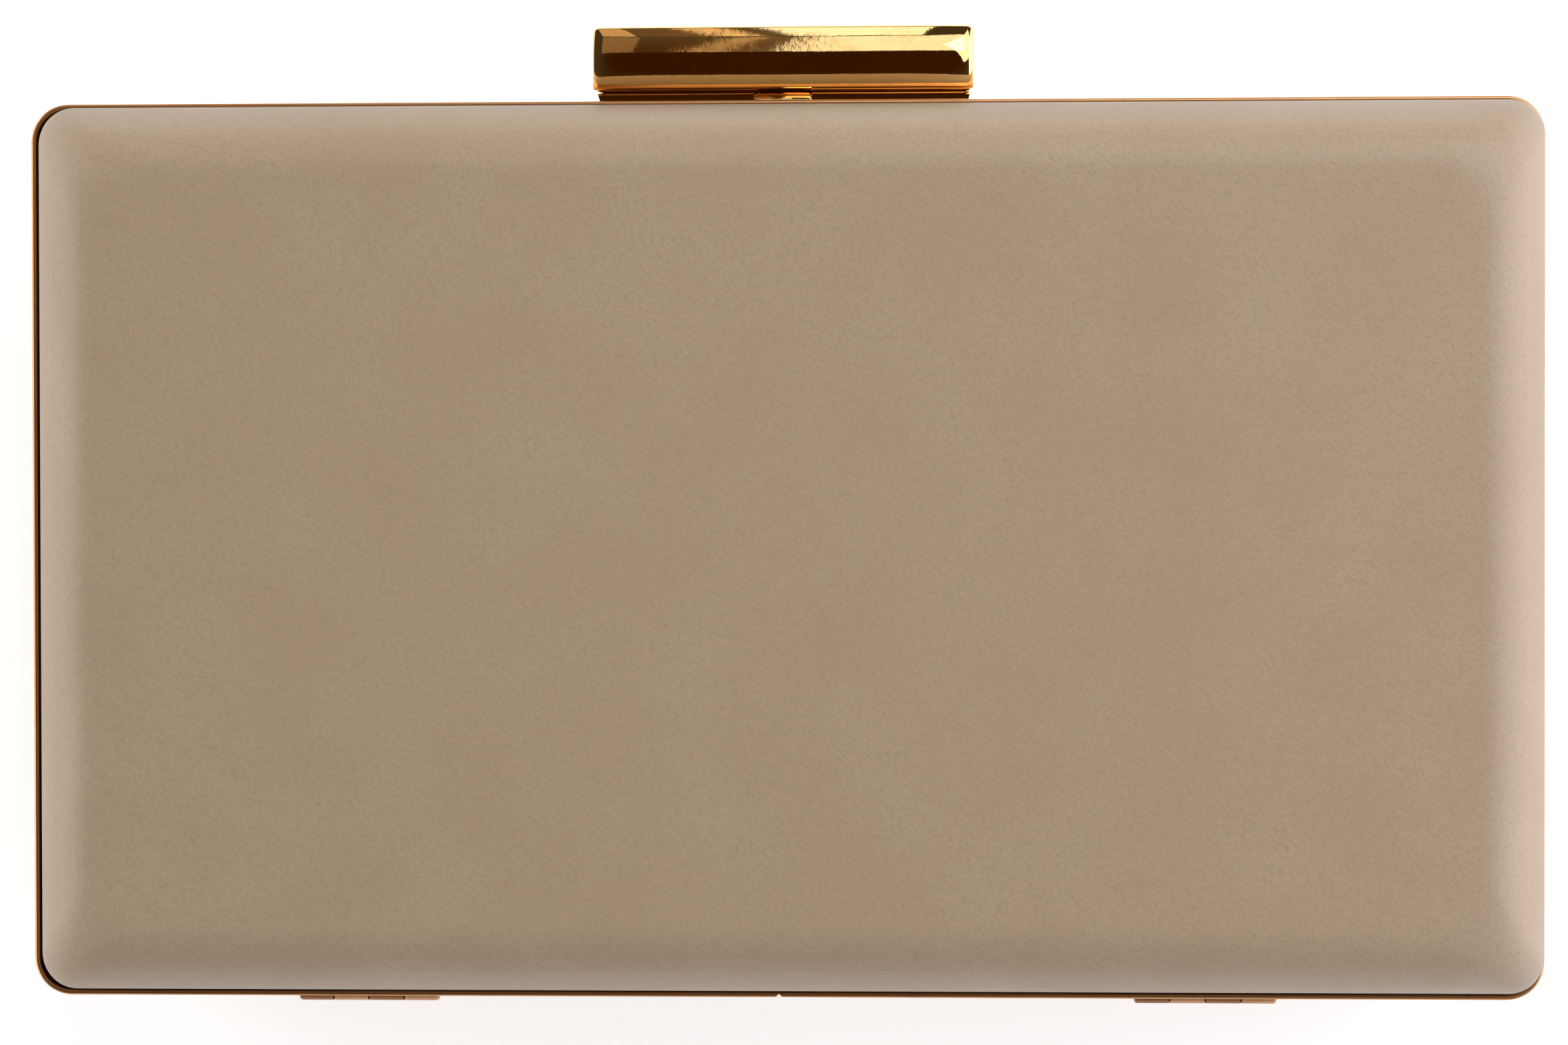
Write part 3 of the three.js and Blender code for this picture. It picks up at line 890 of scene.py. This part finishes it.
def bar_ring(bm, sizes, row):
    """One loop of the bar: straight sides with rounded corners, and a crowned top and underside."""
    middle = (BAR_LOW + BAR_HIGH) / 2
    half = (BAR_HIGH - BAR_LOW) / 2
    corners = rectangle(bm, 2 * half.y, 2 * half.z, (0, 0, 0))
    round_off(bm, corners, sizes.bar_corner, BAR_CORNER_STEPS, "VERTICES")
    loop = loop_of_only_face(bm)
    crowned = [edge for edge in loop if edge.calc_length() > half.y and lies_across(edge)]
    parts = bmesh.ops.subdivide_edges(bm, edges=crowned, cuts=BAR_CROWN_STEPS - 1)["geom_inner"]
    added = {part for part in parts if isinstance(part, bmesh.types.BMVert)}
    verts = list(added.union(*(edge.verts for edge in loop)))
    for vert in verts:
        sag = sizes.bar_crown - math.sqrt(sizes.bar_crown ** 2 - vert.co.x ** 2)
        vert.co.y -= math.copysign(sag, vert.co.y)
    bmesh.ops.scale(bm, vec=(row.width, row.depth, 1.0), verts=verts)
    bmesh.ops.rotate(bm, cent=(0, 0, 0), matrix=INTO_SECTION, verts=verts)
    drop = BAR_END_DROP * half.y * (1 - max(row.width, BAR_END_WIDTH))
    bmesh.ops.translate(bm, vec=(row.x, middle.y - drop, middle.z), verts=verts)
    return list({edge for vert in verts for edge in vert.link_edges})


def lies_across(edge):
    """Whether an edge runs along X."""
    first, second = edge.verts
    return abs(first.co.y - second.co.y) < NOTHING


def bar_end_rows(sizes):
    """Rows of one end of the bar, by the distance from it: a low dome, then the rounded, thinned end."""
    rows = []
    for step in range(1, BAR_DOME_STEPS):
        share = step / BAR_DOME_STEPS
        rows.append(BarRow(BAR_END_DOME * share ** 2, BAR_END_WIDTH * share, BAR_END_DEPTH * share))
    for step in range(BAR_END_STEPS + 1):
        along = (step / BAR_END_STEPS) ** 2
        inwards = sizes.bar_end_taper * along
        left = max(0.0, 1 - inwards / sizes.bar_end_round)
        width = BAR_END_WIDTH + (1 - BAR_END_WIDTH) * math.sqrt(1 - left ** 2)
        thinned = (1 - (1 - along) ** BAR_END_POWER) ** (1 / BAR_END_POWER)
        depth = BAR_END_DEPTH + (1 - BAR_END_DEPTH) * thinned
        rows.append(BarRow(BAR_END_DOME + inwards, width, depth))
    return rows


def slot_mouth(sizes, half):
    """Cutter for the slot's mouth, which widens downwards so that the bar can tilt over the neck."""
    y = rail_y(sizes)
    narrow = sizes.neck_thickness / 2 + sizes.rail_clearance
    drop = y - BAR_LOW.y + sizes.rail_radius
    bm = block(Vector((-half, y - drop, RAIL_Z - narrow)), Vector((half, y, RAIL_Z + narrow)))
    mouth = [vert for vert in bm.verts if vert.co.y < y - drop / 2]
    widening = (narrow + drop * math.tan(BAR_TILT)) / narrow
    about = Matrix.Translation((0, 0, -RAIL_Z))
    bmesh.ops.scale(bm, vec=(1, 1, widening), space=about, verts=mouth)
    return bm


def bar_piece(sizes, colours):
    """The gold bar, hollowed underneath for the rail that it rocks on."""
    bm = bmesh.new()
    ends = bar_end_rows(sizes)
    straight = ends[-1].x
    run = (BAR_HIGH.x - straight) - (BAR_LOW.x + straight)
    rows = [row._replace(x=BAR_LOW.x + row.x) for row in ends]
    for step in range(1, BAR_MIDDLE_STEPS):
        rows.append(BarRow(BAR_LOW.x + straight + run * step / BAR_MIDDLE_STEPS, 1.0, 1.0))
    rows += [row._replace(x=BAR_HIGH.x - row.x) for row in reversed(ends)]
    rings = [bar_ring(bm, sizes, row) for row in rows]
    bridge_rings(bm, rings, ALONG_X)
    cap_ring(bm, rings[0])
    cap_ring(bm, rings[-1])
    close_up(bm)
    piece = new_piece("clasp_bar_gold", bm, gold("clasp", colours))
    half = sizes.rail_length / 2 + sizes.rail_clearance
    radius = sizes.rail_radius + sizes.rail_clearance
    slot = turned(-half, half, 0.0, radius, (rail_y(sizes), RAIL_Z), sizes.edge_break, sizes.edge_break)
    carve(piece, slot, "DIFFERENCE")
    carve(piece, slot_mouth(sizes, half), "DIFFERENCE")
    hand_over(piece, "clasp", "clasp_bar")


def foot_piece(sizes, colours):
    """Foot strip on the back rim, with a fence under the bar's front and the round rail that carries it."""
    y = rail_y(sizes)
    fence_top = CLASP_EDGE + sizes.fence_top
    strip_middle = (FOOT_LOW.y + fence_top) / 2
    bm = block(FOOT_LOW, Vector((FOOT_HIGH.x, fence_top, FOOT_HIGH.z)))
    at_rim = [vert for vert in bm.verts if vert.co.y < strip_middle]
    bmesh.ops.scale(bm, vec=(FOOT_TAPER, 1, 1), verts=at_rim)
    round_off(bm, list(bm.edges), sizes.edge_break / 2, EDGE_STEPS, "EDGES")
    piece = new_piece("clasp_foot_gold", bm, gold("clasp", colours))
    beyond = sizes.rail_radius
    behind_fence = block(
        Vector((FOOT_LOW.x - beyond, CLASP_EDGE + sizes.foot_top, FOOT_LOW.z - beyond)),
        Vector((FOOT_HIGH.x + beyond, fence_top + beyond, RAIL_Z)),
    )
    carve(piece, behind_fence, "DIFFERENCE")
    half = sizes.rail_length / 2
    neck = block(
        Vector((-half, strip_middle, RAIL_Z - sizes.neck_thickness / 2)),
        Vector((half, y, RAIL_Z + sizes.neck_thickness / 2)),
    )
    carve(piece, neck, "UNION")
    rounding = sizes.rail_radius * RAIL_END_ROUND
    rail = turned(-half, half, 0.0, sizes.rail_radius, (y, RAIL_Z), rounding, rounding)
    carve(piece, rail, "UNION")
    hand_over(piece, "base", "clasp_foot")


def striker_piece(colours):
    """Striker: a small bevelled wedge on the front rim, under the middle of the bar."""
    bm = block(STRIKER_LOW, STRIKER_HIGH)
    middle = (STRIKER_LOW + STRIKER_HIGH) / 2
    ridge = [vert for vert in bm.verts if vert.co.y > middle.y and vert.co.z > middle.z]
    bmesh.ops.translate(bm, vec=(0, 0, -STRIKER_SLOPE), verts=ridge)
    round_off(bm, list(bm.edges), STRIKER_BEVEL, EDGE_STEPS, "EDGES")
    piece = new_piece("clasp_striker_gold", bm, gold("clasp", colours))
    hand_over(piece, "lid", "clasp_striker", sharp_deg=25)


# Stage

Lamp = namedtuple("Lamp", "name place aim width height brightness tint")
LAMPS = (
    Lamp("key_softbox", (0.50, 0.34, 0.62), (0.0, 0.0, 0.03), 0.55, 0.55, 1.7, (1.0, 1.0, 1.0)),
    Lamp("back_softbox", (0.40, 1.00, 1.00), (0.0, 0.0, 0.03), 0.80, 0.80, 2.4, (1.0, 1.0, 1.0)),
    Lamp("front_softbox", (0.50, -0.75, 1.00), (0.0, 0.0, 0.03), 0.80, 0.80, 0.6, (1.0, 1.0, 1.0)),
    Lamp("right_wall", (0.55, 0.03, 0.25), (0.0, 0.03, 0.25), 0.80, 0.46, 2.65, (0.98, 1.0, 1.14)),
    Lamp("left_wall", (-1.40, 0.10, 0.60), (0.0, 0.10, 0.60), 1.95, 1.14, 3.15, (1.0, 1.0, 1.04)),
    Lamp("front_wall", (0.0, -1.10, 0.45), (0.0, 0.0, 0.45), 1.60, 0.80, 0.45, (1.0, 0.98, 0.95)),
)

# Lamps that the clasp's bar doesn't mirror
SPARES_BAR = ("back_softbox", "front_softbox", "left_wall")

# The two windows that the bar mirrors, in panes from left to right: one overhead, and one in the far wall
Pane = namedtuple("Pane", "left right brightness tint")
Window = namedtuple("Window", "name place aim height panes")
WINDOWS = (
    Window(
        name="near_window",
        place=Vector((0.0, 0.99, 1.50)),
        aim=Vector((0.0, 0.99, 0.0)),
        height=1.04,
        panes=(
            Pane(-1.100, -0.340, 0.21, (1.0, 0.70, 0.48)),
            Pane(-0.340, -0.117, 0.04, (1.0, 0.62, 0.40)),
            Pane(-0.117, -0.096, 0.46, (1.0, 0.76, 0.52)),
            Pane(-0.096, -0.068, 0.08, (1.0, 0.66, 0.42)),
            Pane(-0.068, 1.000, 1.30, (0.94, 1.0, 1.06)),
        ),
    ),
    Window(
        name="far_window",
        place=Vector((0.0, 1.62, 0.989)),
        aim=Vector((0.0, 0.0, 0.989)),
        height=1.088,
        panes=(
            Pane(-1.100, -0.380, 0.54, (1.0, 0.73, 0.52)),
            Pane(-0.380, -0.136, 0.09, (1.0, 0.60, 0.40)),
            Pane(-0.136, -0.107, 0.85, (1.0, 0.80, 0.56)),
            Pane(-0.107, -0.083, 0.03, (1.0, 0.62, 0.42)),
            Pane(-0.083, 0.150, 1.45, (0.93, 1.02, 1.13)),
        ),
    ),
)

# A little off upright, so that a lamp that looks straight down has an upper side too
LAMP_UP = Vector((0, 0.001, 1))

# Camera: its lens, and its place and aim from the middle of the front rim's lip
CAMERA_LENS_MM = 86.0
CAMERA_EYE = Vector((21.41, 10.79, 494.3)) * MM
CAMERA_AIM = Vector((0.205, 3.578, 0.0)) * MM
CAMERA_UP = Vector((0, 1, 0))
CAMERA_ROLL = -0.002
CAMERA_NEAR = 0.01

FLOOR_SIZE = 8.0

# Tones of the room, and the heights on its unit ball between which each gives way to the next
ROOM_TOP = (0.036, 0.012, 0.002)
ROOM_SIDES = (0.060, 0.045, 0.030)
ROOM_FOOT = (0.25, 0.24, 0.22)
TOP_TO_SIDES = (0.92, 0.70)
SIDES_TO_FOOT = (0.15, 0.02)


def floor_plane(colours):
    bm = bmesh.new()
    bmesh.ops.create_grid(bm, x_segments=8, y_segments=8, size=FLOOR_SIZE / 2)
    floor = new_piece("floor", bm, finish("pale_floor_finish", floor_look, colours))


def aimed(eye, aim, up, roll=0.0):
    """Matrix of a lamp or camera at the eye, which looks along its own -Z to the aim."""
    back = (eye - aim).normalized()
    right = up.cross(back).normalized()
    turn = Matrix((right, back.cross(right), back)).transposed()
    return Matrix.Translation(eye) @ (turn @ Matrix.Rotation(roll, 3, "Z")).to_4x4()


def window_lamps(window):
    """Lamps side by side along X, one for each pane of a window."""
    lamps = []
    for index, pane in enumerate(window.panes, 1):
        middle = Vector(((pane.left + pane.right) / 2, 0, 0))
        name = f"{window.name}_{index}"
        place = window.place + middle
        aim = window.aim + middle
        width = pane.right - pane.left
        lamps.append(Lamp(name, place, aim, width, window.height, pane.brightness, pane.tint))
    return lamps


def add_lamp(lamp):
    """A soft rectangular lamp whose face has the given brightness."""
    light = bpy.data.lights.new(lamp.name, "AREA")
    light.shape = "RECTANGLE"
    light.size = lamp.width
    light.size_y = lamp.height
    light.energy = lamp.brightness * math.pi * lamp.width * lamp.height
    light.color = lamp.tint
    holder = add_object(lamp.name, light)
    holder.visible_camera = False
    holder.matrix_world = aimed(Vector(lamp.place), Vector(lamp.aim), LAMP_UP)
    return holder


def spare_bar(holder):
    """Keeps a lamp's light off the clasp's bar, whose end would mirror the lamp."""
    spared = bpy.data.collections.new("spared_by_" + holder.name)
    spared.objects.link(bpy.data.objects["clasp_bar_gold"])
    spared.collection_objects[0].light_linking.link_state = "EXCLUDE"
    holder.light_linking.receiver_collection = spared


def light_stage():
    for lamp in LAMPS:
        holder = add_lamp(lamp)
        if lamp.name in SPARES_BAR:
            spare_bar(holder)
    for window in WINDOWS:
        for lamp in window_lamps(window):
            add_lamp(lamp)


def room_light():
    """A room that is dark overhead and paler towards the floor."""
    world = bpy.data.worlds.new("studio")
    world.use_nodes = True
    bpy.context.scene.world = world
    tree = world.node_tree
    place = add_node(tree, "ShaderNodeTexCoord").outputs["Generated"]
    height = height_of(tree, place)
    sides = blend_tones(tree, spread(tree, height, TOP_TO_SIDES), ROOM_TOP, ROOM_SIDES)
    tone = blend_tones(tree, spread(tree, height, SIDES_TO_FOOT), sides, ROOM_FOOT)
    tree.links.new(tone, tree.nodes["Background"].inputs["Color"])


def add_camera():
    data = bpy.data.cameras.new("camera")
    data.lens = CAMERA_LENS_MM
    data.clip_start = CAMERA_NEAR
    camera = add_object("camera", data)
    eye = PANEL_CENTRE + CAMERA_EYE
    camera.matrix_world = aimed(eye, PANEL_CENTRE + CAMERA_AIM, CAMERA_UP, CAMERA_ROLL)
    bpy.context.scene.camera = camera


# Operators: each makes one piece, or one group of like pieces

class CLUTCH_OT_leather_shells(bpy.types.Operator):
    """Model the two leather-covered half shells"""

    bl_idname = "clutch.leather_shells"
    bl_label = "Leather Shells"

    def execute(self, context):
        scene = context.scene
        for half in HALVES:
            shell_piece(half, scene.clutch_sizes, scene.clutch_colours)
        return {"FINISHED"}


class CLUTCH_OT_rims(bpy.types.Operator):
    """Model the two gold rims"""

    bl_idname = "clutch.rims"
    bl_label = "Gold Rims"

    def execute(self, context):
        scene = context.scene
        for half in HALVES:
            rim_piece(half, scene.clutch_sizes, scene.clutch_colours)
        return {"FINISHED"}


class CLUTCH_OT_hinges(bpy.types.Operator):
    """Model the hinges' leaves and pins"""

    bl_idname = "clutch.hinges"
    bl_label = "Hinges"

    def execute(self, context):
        scene = context.scene
        for place in HINGE_PLACES:
            for half in HALVES:
                leaf_piece(place, half, scene.clutch_sizes, scene.clutch_colours)
            pin_piece(place, scene.clutch_colours)
        return {"FINISHED"}


class CLUTCH_OT_clasp_foot(bpy.types.Operator):
    """Model the clasp's foot strip and rail"""

    bl_idname = "clutch.clasp_foot"
    bl_label = "Clasp Foot"

    def execute(self, context):
        foot_piece(context.scene.clutch_sizes, context.scene.clutch_colours)
        return {"FINISHED"}


class CLUTCH_OT_clasp_bar(bpy.types.Operator):
    """Model the clasp's bar"""

    bl_idname = "clutch.clasp_bar"
    bl_label = "Clasp Bar"

    def execute(self, context):
        bar_piece(context.scene.clutch_sizes, context.scene.clutch_colours)
        return {"FINISHED"}


class CLUTCH_OT_clasp_striker(bpy.types.Operator):
    """Model the clasp's striker"""

    bl_idname = "clutch.clasp_striker"
    bl_label = "Clasp Striker"

    def execute(self, context):
        striker_piece(context.scene.clutch_colours)
        return {"FINISHED"}


class CLUTCH_OT_stage(bpy.types.Operator):
    """Set up the floor, the lamps, the room's light and the camera"""

    bl_idname = "clutch.stage"
    bl_label = "Stage"

    def execute(self, context):
        floor_plane(context.scene.clutch_colours)
        room_light()
        light_stage()
        add_camera()
        context.scene.view_settings.view_transform = "Standard"
        return {"FINISHED"}


STEPS = (
    CLUTCH_OT_leather_shells,
    CLUTCH_OT_rims,
    CLUTCH_OT_hinges,
    CLUTCH_OT_clasp_foot,
    CLUTCH_OT_clasp_bar,
    CLUTCH_OT_clasp_striker,
    CLUTCH_OT_stage,
)


class CLUTCH_PT_panel(bpy.types.Panel):
    """Lists the clutch's steps, sizes and colours"""

    bl_idname = "CLUTCH_PT_panel"
    bl_label = "Box Clutch"
    bl_space_type = "VIEW_3D"
    bl_region_type = "UI"
    bl_category = "Clutch"

    def draw(self, context):
        for step in STEPS:
            self.layout.operator(step.bl_idname)
        for group in (context.scene.clutch_sizes, context.scene.clutch_colours):
            box = self.layout.box()
            for name in group.__annotations__:
                box.prop(group, name)


CLASSES = (ClutchSizes, ClutchColours, *STEPS, CLUTCH_PT_panel)


def register():
    for each in CLASSES:
        bpy.utils.register_class(each)
    bpy.types.Scene.clutch_sizes = PointerProperty(type=ClutchSizes)
    bpy.types.Scene.clutch_colours = PointerProperty(type=ClutchColours)


def unregister():
    del bpy.types.Scene.clutch_colours
    del bpy.types.Scene.clutch_sizes
    for each in reversed(CLASSES):
        bpy.utils.unregister_class(each)


def main():
    register()
    bpy.ops.clutch.leather_shells()
    bpy.ops.clutch.rims()
    bpy.ops.clutch.hinges()
    bpy.ops.clutch.clasp_foot()
    bpy.ops.clutch.clasp_bar()
    bpy.ops.clutch.clasp_striker()
    bpy.ops.clutch.stage()


if __name__ == "__main__":
    main()
